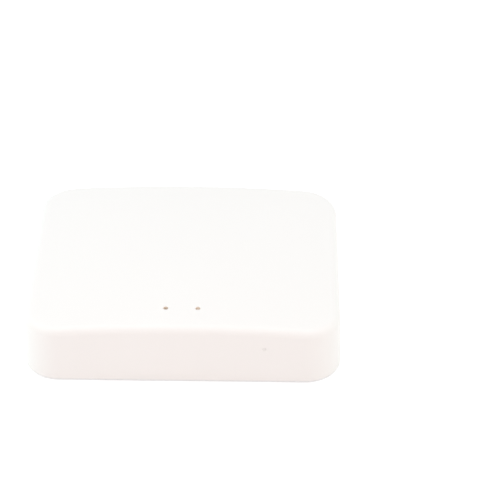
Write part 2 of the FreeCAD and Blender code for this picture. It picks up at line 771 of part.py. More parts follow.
# The switch stands behind the front wall with its axis at the height of the reset button.
def reset_switch():
    body = new_body("switch_body")
    front_view = Drawing(body, "switch_outline", "XZ_Plane")
    front_view.rectangle("0", "switch_height / 2", "switch_width", "switch_height")
    pad(body, "switch_block", front_view, "switch_depth")
    bore = Drawing(body, "switch_bore_outline", "XZ_Plane", "switch_depth - switch_bore_depth")
    bore.circle("0", "reset_rise", "switch_bore")
    pocket(body, "switch_bored", bore, backwards=True)
    finish(body, reset_x, "switch_depth - " + switch_front, "foot_proud + " + board_top)

    cover = new_body("switch_cover")
    half = "switch_width / 2"
    outer = "(switch_width / 2 + cover_sheet)"
    plan = Drawing(cover, "switch_cover_plan")
    plan.polygon(("-" + outer, "-cover_sheet"), (outer, "-cover_sheet"), (outer, "cover_arm"),
                 (half, "cover_arm"), (half, "0"), ("-" + half, "0"), ("-" + half, "cover_arm"),
                 ("-" + outer, "cover_arm"))
    pad(cover, "switch_cover_sheet", plan, "switch_height")
    window = Drawing(cover, "switch_window", "XZ_Plane", "-cut_over")
    window.circle("0", "reset_rise", "switch_bore + window_gap")
    pocket(cover, "switch_windowed", window, "cover_sheet + 2 * cut_over", backwards=True)
    finish(cover, reset_x, "-" + switch_front, "foot_proud + " + board_top)

    dome = new_body("switch_dome")
    section = Drawing(dome, "dome_section")
    section.polygon(("0", "-dome_rise"), ("dome_flank", "-dome_shoulder"), ("dome_radius", "-dome_sheet"),
                    ("dome_radius", "0"), ("dome_flank", "dome_sheet - dome_shoulder"),
                    ("0", "dome_sheet - dome_rise"))
    turn(dome, "dome_sheet_formed", section)
    finish(dome, reset_x, "switch_bore_depth - " + switch_front, "foot_proud + " + reset_height)

    plunger = new_body("switch_plunger")
    stem = Drawing(plunger, "plunger_outline", "XZ_Plane")
    stem.circle("0", "0", "plunger_radius")
    length = "(%s + plunger_proud)" % plunger_back
    pad(plunger, "plunger_stem", stem, length)
    dress(plunger, "Chamfer", "plunger_edge", "plunger_bevel", level_edges("-" + length, "YMin", "YMax"))
    finish(plunger, reset_x, "%s - %s" % (plunger_back, switch_front), "foot_proud + " + reset_height)


# The reset button is a stepped pin: its nose fills the hole in the wall, its collar slides in
# the cover's guide and keeps it in, and its rod rests on the switch.
def reset_button():
    body = new_body("reset_button")
    nose = "(reset_recess - %s)" % reset_wall
    collar = "(reset_gap - %s)" % reset_inside
    rod_end = "(-%s - plunger_proud)" % switch_front
    profile = Drawing(body, "button_profile")
    profile.polygon(("0", nose), ("reset_nose", nose), ("reset_nose", collar), ("reset_collar", collar),
                    ("reset_collar", collar + " + reset_collar_length"),
                    ("reset_rod", collar + " + reset_collar_length"), ("reset_rod", rod_end), ("0", rod_end))
    turn(body, "button_turned", profile)
    finish(body, reset_x, "0", "foot_proud + " + reset_height)


# Each status lamp shines up a clear pipe that stands in its tube under the roof.
def status_lamp(side, x):
    lamp = new_body("lamp_" + side)
    base = Drawing(lamp, "lamp_base_" + side)
    base.rectangle("0", "0", "lamp_width", "lamp_depth")
    pad(lamp, "lamp_carrier_" + side, base, "lamp_base")
    lens = Drawing(lamp, "lamp_lens_" + side, level="lamp_base")
    lens.rectangle("0", "0", "lens_width", "lens_depth")
    pad(lamp, "lamp_window_" + side, lens, "lens_height", "draft_angle")
    finish(lamp, x, "-" + lamp_y, "foot_proud + " + board_top)

    pipe = new_body("light_pipe_" + side)
    low = "(%s + lamp_base + lens_height + pipe_lift)" % board_top
    seat = "(%s - roof_wall - seat_gap)" % lamp_crown
    top = "(%s - lamp_recess)" % lamp_crown
    section = Drawing(pipe, "pipe_section_" + side, "XZ_Plane")
    step = "(%s - pipe_collar_height)" % seat
    section.polygon(("0", low), ("pipe_stem - pipe_bevel", low), ("pipe_stem", low + " + pipe_bevel"),
                    ("pipe_stem", step), ("pipe_collar", step), ("pipe_collar", seat),
                    ("lamp_hole - pipe_gap", seat), ("lamp_hole - pipe_gap", top), ("0", top))
    turn(pipe, "pipe_turned_" + side, section)
    finish(pipe, x, "-" + lamp_y)


def capacitor(side, x):
    base = new_body("capacitor_base_" + side)
    half, cut = "(can_base / 2)", "(can_base / 2 - can_corner)"
    outline = Drawing(base, "capacitor_foot_" + side)
    outline.polygon(("-" + half, "-" + half), (half, "-" + half), (half, cut), (cut, half),
                    ("-" + cut, half), ("-" + half, cut))
    pad(base, "capacitor_plate_" + side, outline, "can_seat")
    finish(base, x, can_y, "foot_proud + " + board_top)

    can = new_body("capacitor_can_" + side)
    section = Drawing(can, "can_section_" + side, "XZ_Plane")
    waist = "(can_radius - can_groove)"
    section.polygon(("0", "0"), ("can_radius", "0"), ("can_radius", "can_seat"),
                    (waist, "can_seat + can_groove"), (waist, "can_seat + 2 * can_groove"),
                    ("can_radius", "can_seat + 3 * can_groove"), ("can_radius", "can_height - can_round"),
                    ("can_radius - can_round", "can_height"), ("0", "can_height"))
    turn(can, "can_drawn_" + side, section)
    finish(can, x, can_y, "foot_proud + can_seat + " + board_top)


def power_choke():
    body = new_body("power_choke")
    outline = Drawing(body, "choke_outline")
    outline.rounded("0", "0", "choke_width", "choke_width", "choke_corner")
    pad(body, "choke_block", outline, "choke_height")
    dress(body, "Chamfer", "choke_edge", "choke_bevel", level_edges("choke_height"))
    face = Drawing(body, "choke_face", level="choke_height - ring_depth")
    face.circle("0", "0", "ring_outer")
    face.circle("0", "0", "ring_inner")
    pocket(body, "choke_ring", face, backwards=True)
    finish(body, "choke_x", supply_y, "foot_proud + " + board_top)


# A moulded chip with rows of bent leads: each lead leaves the side, steps down and lies flat.
def leaded_chip(label, name, y):
    width, depth, height = name + "_width", name + "_depth", name + "_height"
    body = new_body(label)
    outline = Drawing(body, name + "_package", level="chip_stand")
    outline.rectangle("0", "0", width, depth)
    pad(body, name + "_moulding", outline, height + " - chip_stand")
    dress(body, "Chamfer", name + "_bevel", "lead_wall", level_edges(height))
    lead = Drawing(body, name + "_lead", "XZ_Plane",
                   "%s_pitch * (%s_leads - 1) / 2" % (name, name))
    side, knee = "(%s / 2 - lead_root)" % width, "(%s / 2 + lead_knee)" % width
    foot_end = "(%s / 2 + lead_reach)" % width
    exit_height = "(%s / 2)" % height
    lead.polygon((side, exit_height), (knee, exit_height), (knee, "lead_wall"), (foot_end, "lead_wall"),
                 (foot_end, "0"), (knee + " - lead_wall", "0"),
                 (knee + " - lead_wall", exit_height + " - lead_wall"), (side, exit_height + " - lead_wall"))
    first = pad(body, name + "_first_lead", lead, "lead_width")
    row_on_both_sides(body, first, lead, "N_Axis", name + "_pitch", name + "_leads", backwards=True)
    finish(body, name + "_x", y, "foot_proud + " + board_top)


def flat_chip():
    body = new_body("main_chip")
    outline = Drawing(body, "main_chip_outline")
    outline.rectangle("0", "0", "main_chip_width", "main_chip_width")
    pad(body, "main_chip_moulding", outline, "main_chip_height")
    mark = Drawing(body, "main_chip_mark", level="main_chip_height - dot_depth")
    mark.circle("dot_inset - main_chip_width / 2", "main_chip_width / 2 - dot_inset", "dot_radius")
    pocket(body, "main_chip_dot", mark, backwards=True)
    finish(body, "main_chip_x", "main_chip_y", "foot_proud + " + board_top)


def clock_crystal():
    body = new_body("clock_crystal")
    flange = Drawing(body, "crystal_flange_outline")
    flange.rounded("0", "0", "crystal_width + 2 * crystal_flange", "crystal_depth + 2 * crystal_flange",
                   "crystal_round + crystal_flange")
    pad(body, "crystal_foot", flange, "crystal_flange")
    can = Drawing(body, "crystal_can_outline")
    can.rounded("0", "0", "crystal_width", "crystal_depth", "crystal_round")
    pad(body, "crystal_can", can, "crystal_height")
    dress(body, "Fillet", "crystal_can_edge", "crystal_edge", level_edges("crystal_height"))
    finish(body, "crystal_x", "crystal_y", "foot_proud + " + board_top)


# Small resistors and capacitors stand in two rows beside the main chip.
def chip_parts():
    group = doc.addObject("Part::Compound", "chip_parts")
    group.Label = "chip_parts"
    links = []
    count = int(size("chip_row"))
    for number in range(2 * count):
        part = doc.addObject("Part::Box", "chip_part_%d" % (number + 1))
        bind(part, Length="chip_width", Width="chip_depth", Height="chip_height")
        column, row = divmod(number, count)
        x = "%d * (main_chip_width / 2 + chip_width) - chip_width / 2" % (2 * column - 1)
        y = "main_chip_y + (%d - (chip_row - 1) / 2) * chip_spacing - chip_depth / 2" % row
        place(part, x, y, board_top)
        links.append(part)
    group.Links = links
    finish(group)


top_cover()
base_cover()
for corner, signs in corners.items():
    foot("foot_" + corner, *signs)
fasteners()
main_board()
module("radio")
module("network")
power_inlet()
reset_switch()
reset_button()
status_lamp("left", "-lamp_x")
status_lamp("right", "lamp_x")
capacitor("left", "-can_x")
capacitor("right", "can_x")
power_choke()
leaded_chip("power_regulator", "regulator", supply_y)
leaded_chip("memory_chip", "memory", "memory_y")
flat_chip()
clock_crystal()
chip_parts()
doc.recompute()

for item in doc.Objects:
    if "Invalid" in item.State or "Error" in item.State:
        raise RuntimeError("%s is %s" % (item.Name, item.State))
for item in pieces:
    if item.Shape.isNull() or not item.Shape.isValid() or not item.Shape.Solids:
        raise RuntimeError(item.Label + " has no valid solid")

os.makedirs("parts", exist_ok=True)
for item in pieces:
    item.Shape.exportStep("parts/%s.step" % item.Label)
box = Part.makeCompound([item.Shape for item in pieces]).BoundBox
print("%d pieces, %.2f x %.2f x %.2f mm" % (len(pieces), box.XLength, box.YLength, box.ZLength))
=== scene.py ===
import json
import math

import bmesh
import bpy
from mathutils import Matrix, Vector


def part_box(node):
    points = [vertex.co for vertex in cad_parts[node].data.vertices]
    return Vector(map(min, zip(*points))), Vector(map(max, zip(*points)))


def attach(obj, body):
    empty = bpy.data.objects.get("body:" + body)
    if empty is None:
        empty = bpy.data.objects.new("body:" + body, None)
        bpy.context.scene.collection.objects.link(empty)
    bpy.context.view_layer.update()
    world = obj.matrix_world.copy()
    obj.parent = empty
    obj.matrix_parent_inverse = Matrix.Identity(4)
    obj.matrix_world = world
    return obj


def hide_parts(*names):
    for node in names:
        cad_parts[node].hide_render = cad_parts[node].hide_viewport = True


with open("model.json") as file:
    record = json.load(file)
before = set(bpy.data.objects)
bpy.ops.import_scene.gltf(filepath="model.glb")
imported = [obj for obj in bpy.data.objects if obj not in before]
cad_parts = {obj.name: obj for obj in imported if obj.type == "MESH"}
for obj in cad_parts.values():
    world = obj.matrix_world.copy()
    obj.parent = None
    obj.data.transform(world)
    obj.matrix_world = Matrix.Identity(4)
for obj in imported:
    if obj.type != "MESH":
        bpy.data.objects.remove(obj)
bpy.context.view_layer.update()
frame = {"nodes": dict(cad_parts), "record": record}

# A white desk gateway on a pale floor. Lengths are millimetres, and mm turns them into metres.
mm = 0.001
# what lies this close to a plane is taken to be on it
near = 0.01
# a face whose normal has this share along an axis is taken to be square to it
square = 0.9999


# Modelling helpers

def leaveEditing():
    if bpy.context.mode != "OBJECT":
        bpy.ops.object.mode_set(mode="OBJECT")


def selectNothing():
    leaveEditing()
    bpy.ops.object.select_all(action="DESELECT")


def workOn(piece):
    selectNothing()
    piece.select_set(True)
    bpy.context.view_layer.objects.active = piece


def editing(piece):
    workOn(piece)
    bpy.ops.object.mode_set(mode="EDIT")


def centreOf(item):
    return sum((corner.co for corner in item.verts), Vector()) / len(item.verts)


def pick(kind, test):
    # selects the edges or faces that pass a test on their place or direction
    bpy.ops.mesh.select_all(action="DESELECT")
    kinds = ("verts", "edges", "faces")
    bpy.context.tool_settings.mesh_select_mode = [kind == one for one in kinds]
    mesh = bpy.context.edit_object.data
    cage = bmesh.from_edit_mesh(mesh)
    cage.normal_update()
    chosen = [item for item in getattr(cage, kind) if test(item)]
    for item in chosen:
        item.select_set(True)
    cage.select_flush_mode()
    bmesh.update_edit_mesh(mesh)
    return len(chosen)


def settle(piece, name):
    # the piece keeps its place in its mesh, and its object goes to the origin
    workOn(piece)
    bpy.ops.object.transform_apply(location=True, rotation=True, scale=True)
    piece.name = name
    piece.data.name = name
    return piece


def box(name, low, high):
    selectNothing()
    middle = [(a + b) / 2 * mm for a, b in zip(low, high)]
    lengths = [(b - a) * mm for a, b in zip(low, high)]
    bpy.ops.mesh.primitive_cube_add(size=1, location=middle, scale=lengths)
    return settle(bpy.context.object, name)


def rod(name, centre, radius, reach, axis="Z", sides=48):
    # a round bar from its centre point, along one axis, for its whole reach
    selectNothing()
    along = Vector([reach * (axis == letter) for letter in "XYZ"]) * mm
    turns = {"X": (0, math.pi / 2, 0), "Y": (math.pi / 2, 0, 0), "Z": (0, 0, 0)}
    bpy.ops.mesh.primitive_cylinder_add(vertices=sides, radius=radius * mm, depth=abs(reach) * mm,
                                        location=Vector(centre) * mm + along / 2, rotation=turns[axis])
    return settle(bpy.context.object, name)


def turned(name, x, y, profile, sides=64):
    # a round piece that grows upwards through its profile of radius and height pairs
    selectNothing()
    radius, height = profile[0]
    bpy.ops.mesh.primitive_circle_add(vertices=sides, radius=radius * mm, fill_type="NGON",
                                      location=(x * mm, y * mm, height * mm))
    piece = settle(bpy.context.object, name)
    editing(piece)
    bpy.ops.mesh.select_all(action="SELECT")
    for nextRadius, nextHeight in profile[1:]:
        bpy.ops.mesh.extrude_region_move(
            TRANSFORM_OT_translate={"value": (0, 0, (nextHeight - height) * mm)})
        grow = nextRadius / radius
        bpy.ops.transform.resize(value=(grow, grow, 1), center_override=(x * mm, y * mm, nextHeight * mm))
        radius, height = nextRadius, nextHeight
    bpy.ops.mesh.select_all(action="SELECT")
    bpy.ops.mesh.normals_make_consistent(inside=False)
    leaveEditing()
    return piece


def roundOver(radius, height, size, steps=5):
    # the points of a quarter round at the lower rim of a turned piece
    turns = [math.pi / 2 * step / steps for step in range(steps + 1)]
    return [(radius - size + size * math.sin(turn), height + size - size * math.cos(turn)) for turn in turns]


flares = {"steps": 5, "lean": 78, "overrun": 1.0}


def flareEnd(tool, along, spot, halves, flare, follow):
    # widens a cutting tool's outer end in a quarter round, so that the cut has a soft edge
    along, spot = Vector(along), Vector(spot) * mm
    editing(tool)
    pick("faces", lambda face: face.normal.dot(along) > square)
    steps, lean = flares["steps"], math.radians(flares["lean"])
    rise = grown = 0
    for step in range(1, steps + 1):
        nextRise = flare * math.sin(lean * step / steps)
        nextGrown = flare * (1 - math.cos(lean * step / steps))
        bpy.ops.mesh.extrude_region_move(TRANSFORM_OT_translate={"value": along * (nextRise - rise) * mm})
        factors = [1 if abs(part) > 0.5 else (half + nextGrown) / (half + grown)
                   for part, half in zip(along, halves)]
        bpy.ops.transform.resize(value=factors, center_override=spot)
        rise, grown = nextRise, nextGrown
    bpy.ops.mesh.extrude_region_move(TRANSFORM_OT_translate={"value": along * flares["overrun"] * mm})
    leaveEditing()
    for vertex in tool.data.vertices:
        if (vertex.co - spot).dot(along) > -(flare + near) * mm:
            vertex.co += along * follow(vertex.co / mm) * mm
    return tool


def modify(piece, kind, **settings):
    workOn(piece)
    tool = piece.modifiers.new(kind.lower(), kind)
    for setting, value in settings.items():
        setattr(tool, setting, value)
    bpy.ops.object.modifier_apply(modifier=tool.name)


def combine(piece, others, operation):
    for other in others:
        modify(piece, "BOOLEAN", object=other, operation=operation, solver="EXACT")
        bpy.data.objects.remove(other)


def smoothOver(piece, angle):
    workOn(piece)
    bpy.ops.object.shade_smooth_by_angle(angle=math.radians(angle))
    modify(piece, "WEIGHTED_NORMAL", keep_sharp=True, weight=90)


def copyOf(piece, name, shift):
    twin = piece.copy()
    twin.data = piece.data.copy()
    bpy.context.collection.objects.link(twin)
    twin.location = Vector(shift) * mm
    return settle(twin, name)


# Shader helpers

class Value:
    # a socket that can stand in a sum, with its Math nodes made as it is used
    def __init__(self, tree, socket):
        self.tree = tree
        self.socket = socket

    def math(self, operation, first, second):
        return self.tree.node("Math", {"operation": operation}, {0: first, 1: second})

    def __add__(self, other):
        return self.math("ADD", self, other)

    def __radd__(self, other):
        return self.math("ADD", other, self)

    def __sub__(self, other):
        return self.math("SUBTRACT", self, other)

    def __rsub__(self, other):
        return self.math("SUBTRACT", other, self)

    def __mul__(self, other):
        return self.math("MULTIPLY", self, other)

    def __rmul__(self, other):
        return self.math("MULTIPLY", other, self)

    def sharpened(self, low, high):
        # 0 under low, 1 over high and a smooth step between them
        return self.tree.node("MapRange", {"interpolation_type": "SMOOTHSTEP"},
                              {"Value": self, "From Min": low, "From Max": high})


class NodeTree:
    # makes nodes in one tree and joins them
    def __init__(self, tree):
        self.nodes = tree.nodes
        self.links = tree.links

    def fill(self, target, inputs):
        for key, value in inputs.items():
            if isinstance(value, Value):
                self.links.new(value.socket, target.inputs[key])
            else:
                target.inputs[key].default_value = value

    def node(self, kind, settings=None, inputs=None, output=0):
        made = self.nodes.new("ShaderNode" + kind)
        for key, value in (settings or {}).items():
            setattr(made, key, value)
        self.fill(made, inputs or {})
        return Value(self, made.outputs[output])

    def seenDirectly(self):
        # 1 for what the camera, a reflection or a clear piece shows, 0 for what only lights
        seen = self.node("LightPath", output="Is Camera Ray")
        for kind in ("Is Glossy Ray", "Is Transmission Ray"):
            seen = seen.math("MAXIMUM", seen, self.node("LightPath", output=kind))
        return seen


class Finish(NodeTree):
    # one material with its own shader
    def __init__(self, name, **surface):
        self.material = bpy.data.materials.new(name)
        self.material.use_nodes = True
        super().__init__(self.material.node_tree)
        self.shader = self.nodes["Principled BSDF"]
        self.show(**surface)

    def place(self, stretch=(1, 1, 1)):
        spot = self.node("TexCoord", output="Object")
        return self.node("Mapping", inputs={"Vector": spot, "Scale": stretch})

    def noise(self, size, detail=2.0, roughness=0.5, stretch=(1, 1, 1)):
        # a soft random field from 0 to 1 whose lumps are about size millimetres across
        return self.node("TexNoise", inputs={"Vector": self.place(stretch), "Scale": 1 / (size * mm),
                                             "Detail": detail, "Roughness": roughness})

    def height(self):
        # the height over the floor in millimetres
        spot = self.node("TexCoord", output="Object")
        return self.node("SeparateXYZ", inputs={0: spot}, output="Z") * (1 / mm)

    def colours(self, mask, first, second):
        tones = [tone if isinstance(tone, Value) else (*tone, 1) for tone in (first, second)]
        return self.node("Mix", {"data_type": "RGBA"}, {"Factor": mask, 6: tones[0], 7: tones[1]}, 2)

    def relief(self, height, depth):
        # depth is the relief's height in millimetres
        bump = self.node("Bump", inputs={"Height": height, "Distance": depth * mm, "Strength": 1.0})
        self.fill(self.shader, {"Normal": bump})

    def show(self, **surface):
        self.fill(self.shader, {key.replace("_", " "): value for key, value in surface.items()})
        return self.material


# Finishes

# the rim colour is painted shade along the case's lowest rim, faded out between the two heights that follow
# it
plastic = {"white": (0.93, 0.924, 0.91), "deep": (0.926, 0.919, 0.904), "roughness": 0.42,
           "grain": 0.16, "grainDepth": 0.003, "cloud": 34, "wear": 9, "wearSwing": 0.08,
           "grainSwing": 0.06, "rim": (0.75, 0.785, 0.8), "rimRise": (0.5, 1.15)}


def mouldedWhite(name, light, deep, roughness, grain, grainDepth, paintedShadeRim=False):
    finish = Finish(name, IOR=1.5)
    cloud = finish.noise(plastic["cloud"], detail=3)
    fine = finish.noise(grain, detail=2, roughness=0.6)
    finish.relief(fine, grainDepth)
    wear = finish.noise(plastic["wear"], detail=4, roughness=0.62)
    tone = finish.colours(cloud.sharpened(0.3, 0.7), light, deep)
    if paintedShadeRim:
        # painted shade: the lowest rim is coloured a little grey, where the wall turns under to the table and
        # the contact shadow falls
        tone = finish.colours(finish.height().sharpened(*plastic["rimRise"]), plastic["rim"], tone)
    return finish.show(Base_Color=tone, Roughness=roughness + (wear - 0.5) * plastic["wearSwing"]
                       + (fine - 0.5) * plastic["grainSwing"])


def caseWhite():
    # the case takes the painted shade along its lowest rim
    return mouldedWhite("caseWhite", plastic["white"], plastic["deep"], plastic["roughness"],
                        plastic["grain"], plastic["grainDepth"], paintedShadeRim=True)


def baseWhite():
    # the underside has a coarser sparked texture than the walls
    return mouldedWhite("baseWhite", (0.87, 0.865, 0.857), (0.845, 0.838, 0.83),
                        roughness=0.55, grain=0.34, grainDepth=0.014)


def buttonWhite():
    return mouldedWhite("buttonWhite", (0.9, 0.888, 0.878), (0.885, 0.872, 0.862),
                        roughness=0.45, grain=0.12, grainDepth=0.003)


def lampWell():
    # painted light: the white wall of a lamp hole is coloured a warm glow, as if lit by the clear pipe in it
    finish = Finish("lampWell", IOR=1.5)
    cloud = finish.noise(0.5, detail=1)
    return finish.show(Base_Color=finish.colours(cloud, (0.95, 0.86, 0.76), (0.93, 0.82, 0.7)),
                       Roughness=0.4)


clear = {"swirl": 1.2, "grain": 0.25, "grainDepth": 0.004, "roughness": 0.18, "swing": 0.12}


def clearPipe(name, light, deep):
    finish = Finish(name, IOR=1.49)
    swirl = finish.noise(clear["swirl"], detail=2)
    finish.relief(finish.noise(clear["grain"]), clear["grainDepth"])
    return finish.show(Base_Color=finish.colours(swirl, light, deep),
                       Roughness=clear["roughness"] + swirl * clear["swing"])


rubber = {"clean": (0.16, 0.16, 0.165), "dusty": (0.22, 0.22, 0.222), "dust": 1.6, "dustEdge": (0.35, 0.75),
          "grain": 0.22, "grainDepth": 0.02, "roughness": 0.72, "swing": 0.16}


def footRubber():
    finish = Finish("footRubber", IOR=1.5)
    dust = finish.noise(rubber["dust"], detail=4, roughness=0.65)
    finish.relief(finish.noise(rubber["grain"], detail=3), rubber["grainDepth"])
    tone = finish.colours(dust.sharpened(*rubber["dustEdge"]), rubber["clean"], rubber["dusty"])
    return finish.show(Base_Color=tone, Roughness=rubber["roughness"] + (dust - 0.5) * rubber["swing"])


metal = {"cloud": 3.5, "cloudSwing": 0.1, "grainDepth": 0.002, "grainSwing": 0.2}


def metalFinish(name, light, deep, roughness, grain=0.3, stretch=(1, 1, 1)):
    finish = Finish(name, Metallic=1.0)
    cloud = finish.noise(metal["cloud"], detail=3)
    fine = finish.noise(grain, detail=3, stretch=stretch)
    finish.relief(fine, metal["grainDepth"])
    return finish.show(Base_Color=finish.colours(cloud, light, deep),
                       Roughness=roughness + (fine - 0.5) * metal["grainSwing"]
                       + (cloud - 0.5) * metal["cloudSwing"])


moulding = {"cloud": 1.5, "swing": 0.1, "grain": 0.1, "grainDepth": 0.004}


def smallMoulding(name, light, deep, roughness=0.55):
    finish = Finish(name, IOR=1.5)
    cloud = finish.noise(moulding["cloud"], detail=3)
    finish.relief(finish.noise(moulding["grain"], detail=2), moulding["grainDepth"])
    return finish.show(Base_Color=finish.colours(cloud, light, deep),
                       Roughness=roughness + (cloud - 0.5) * moulding["swing"])


tracks = {"twist": {"X": 2.2, "Y": 1.6}, "spread": 3.2, "edge": (0.8, 0.88), "field": 5,
          "fieldEdge": (0.47, 0.53), "show": 0.8, "relief": 0.035, "cloud": 6, "roughness": 0.3,
          "swing": 0.12}


def boardFinish(name, mask, track, pitch):
    # copper tracks show through the solder mask as paler lines, in two crossing runs
    finish = Finish(name, IOR=1.52)
    runs = [finish.node("TexWave", {"bands_direction": way},
                        {"Vector": finish.place(), "Scale": 1 / (pitch * mm) / tracks["spread"],
                         "Distortion": twist, "Detail": 1.0, "Detail Scale": 0.6}, "Fac")
            for way, twist in tracks["twist"].items()]
    across, along = [run.sharpened(*tracks["edge"]) for run in runs]
    field = finish.noise(pitch * tracks["field"], detail=1).sharpened(*tracks["fieldEdge"])
    lines = (across * field + along * (1 - field)) * tracks["show"]
    finish.relief(lines, tracks["relief"])
    cloud = finish.noise(tracks["cloud"], detail=2)
    return finish.show(Base_Color=finish.colours(lines, mask, track),
                       Roughness=tracks["roughness"] + cloud * tracks["swing"])


ceramic = {"body": (0.34, 0.24, 0.15), "end": (0.1, 0.09, 0.085), "spread": 0.9, "endEdge": (0.45, 0.6),
           "roughness": 0.4, "swing": 0.15}


def ceramicFinish():
    finish = Finish("ceramic", IOR=1.6)
    ends = finish.noise(ceramic["spread"], detail=1).sharpened(*ceramic["endEdge"])
    return finish.show(Base_Color=finish.colours(ends, ceramic["body"], ceramic["end"]),
                       Roughness=ceramic["roughness"] + ends * ceramic["swing"])


def lampBody():
    finish = Finish("lampBody", IOR=1.5)
    cloud = finish.noise(0.6, detail=1)
    return finish.show(Base_Color=finish.colours(cloud, (0.86, 0.76, 0.42), (0.9, 0.86, 0.74)),
                       Roughness=0.25)


finishes = {
    "white_case": caseWhite(),
    "white_base": baseWhite(),
    "white_button": buttonWhite(),
    "foot_rubber": footRubber(),
    "screw_steel": metalFinish("screwSteel", (0.6, 0.6, 0.61), (0.5, 0.5, 0.52), roughness=0.35),
    "circuit_board": boardFinish("boardGreen", (0.012, 0.09, 0.035), (0.04, 0.2, 0.075), pitch=0.9),
    "module_board": boardFinish("moduleBlue", (0.01, 0.02, 0.075), (0.03, 0.06, 0.17), pitch=0.7),
    "drawn_steel": metalFinish("drawnSteel", (0.74, 0.73, 0.7), (0.64, 0.63, 0.6), roughness=0.28),
    "inlet_steel": metalFinish("inletSteel", (0.78, 0.78, 0.77), (0.66, 0.66, 0.65), roughness=0.22,
                               grain=0.2, stretch=(1, 0.15, 1)),
    "black_moulding": smallMoulding("blackMoulding", (0.022, 0.022, 0.023), (0.035, 0.035, 0.036)),
    "pale_moulding": smallMoulding("paleMoulding", (0.78, 0.75, 0.7), (0.72, 0.69, 0.63)),
    "chip_moulding": smallMoulding("chipMoulding", (0.03, 0.03, 0.033), (0.045, 0.045, 0.048), roughness=0.6),
    "ferrite": smallMoulding("ferriteGrey", (0.08, 0.08, 0.082), (0.12, 0.12, 0.12), roughness=0.5),
    "ceramic": ceramicFinish(),
    "can_aluminium": metalFinish("canAluminium", (0.8, 0.8, 0.8), (0.72, 0.72, 0.73), roughness=0.3,
                                 grain=0.25, stretch=(1, 1, 0.1)),
    "lamp_body": lampBody(),
    "clear_pipe": clearPipe("clearPipe", (0.8, 0.72, 0.65), (0.74, 0.66, 0.59)),
}
# a darker copy of the clear pipe colour, painted shade for the left pipe
dimPipe = clearPipe("dimPipe", (0.56, 0.48, 0.41), (0.5, 0.42, 0.35))
contactGold = metalFinish("contactGold", (0.83, 0.6, 0.26), (0.75, 0.52, 0.2), roughness=0.3, grain=0.15)

slotOf = {part["node"]: part["material_slot"] for part in frame["record"]["subparts"]}
for node, carried in frame["nodes"].items():
    for holder in carried.material_slots:
        holder.material = finishes[slotOf[node]]
print("finishes: %d" % len(finishes))


# Top cover

coverLow, coverHigh = [Vector(corner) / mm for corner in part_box("top_cover")]
cover = {
    "width": coverHigh.x - coverLow.x,
    "depth": coverHigh.y - coverLow.y,
    "low": coverLow.z,
    "high": coverHigh.z,
    "cornerRadius": 10.2,
    "draft": 1.7,
    "crownAcross": 494.0,
    "crownAlong": 652.0,
    "edgeRound": 2.2,
    "rimRound": 0.5,
    "rimSteps": 4,
    "sideWall": 2.0,
    "roofWall": 2.0,
    "lapWall": 1.1,
    "lapHeight": 1.8,
    "cornerSteps": 20,
    "roundSteps": 10,
    "sideStep": 2.6,
    "rings": 30,
    "smooth": 32,
    "cutOver": 1.0,
    "postInset": 0.9,
    "lampX": 4.5,
    "lampY": -25.75,
    "lampHole": 0.68,
    "wellSlack": (0.03, 0.05),
    "tubeRadius": 2.2,
    "tubeBore": 1.45,
    "tubeFoot": 11.4,
    "ribWall": 1.0,
    "ribFoot": 15.2,
    "ribAcross": 11.0,
    "ribAlong": 17.0,
    "ribEnd": 8.0,
    "ribCuts": 12,
    "gussetFoot": 9.7,
    "gussetEnd": 1.4,
    "bossRadius": 2.8,
    "bossInset": 8.5,
    "bossFoot": 4.7,
    "pilotRadius": 1.0,
    "pilotDepth": 10.0,
    "buttonX": 23.2,
    "buttonZ": 12.25,
    "buttonHole": 0.51,
    "buttonEdge": 0.05,
    "buttonCut": 3.0,
    "guideRadius": 2.3,
    "guideBore": 1.26,
    "guideCut": 4.0,
    "guideLength": 1.9,
    "inletZ": 10.35,
    "recess": (11.8, 7.6, 0.9, 1.4),
    "mouth": (8.3, 3.5, 4.0, 0.95),
    "recessSteps": 8,
    "softEdge": 0.13,
    "recessEdge": 0.3,
}
coreShape = {"edgeRound": 0.6, "cornerSteps": 8, "roundSteps": 3, "sideStep": 9, "rings": 8}
lapShape = {"edgeRound": 0, "cornerSteps": cover["cornerSteps"], "roundSteps": 1, "sideStep": 30, "rings": 2}


def crownDrop(x, y, inset):
    across, along = cover["crownAcross"] - inset, cover["crownAlong"] - inset
    return across - math.sqrt(across ** 2 - x ** 2) + along - math.sqrt(along ** 2 - y ** 2)


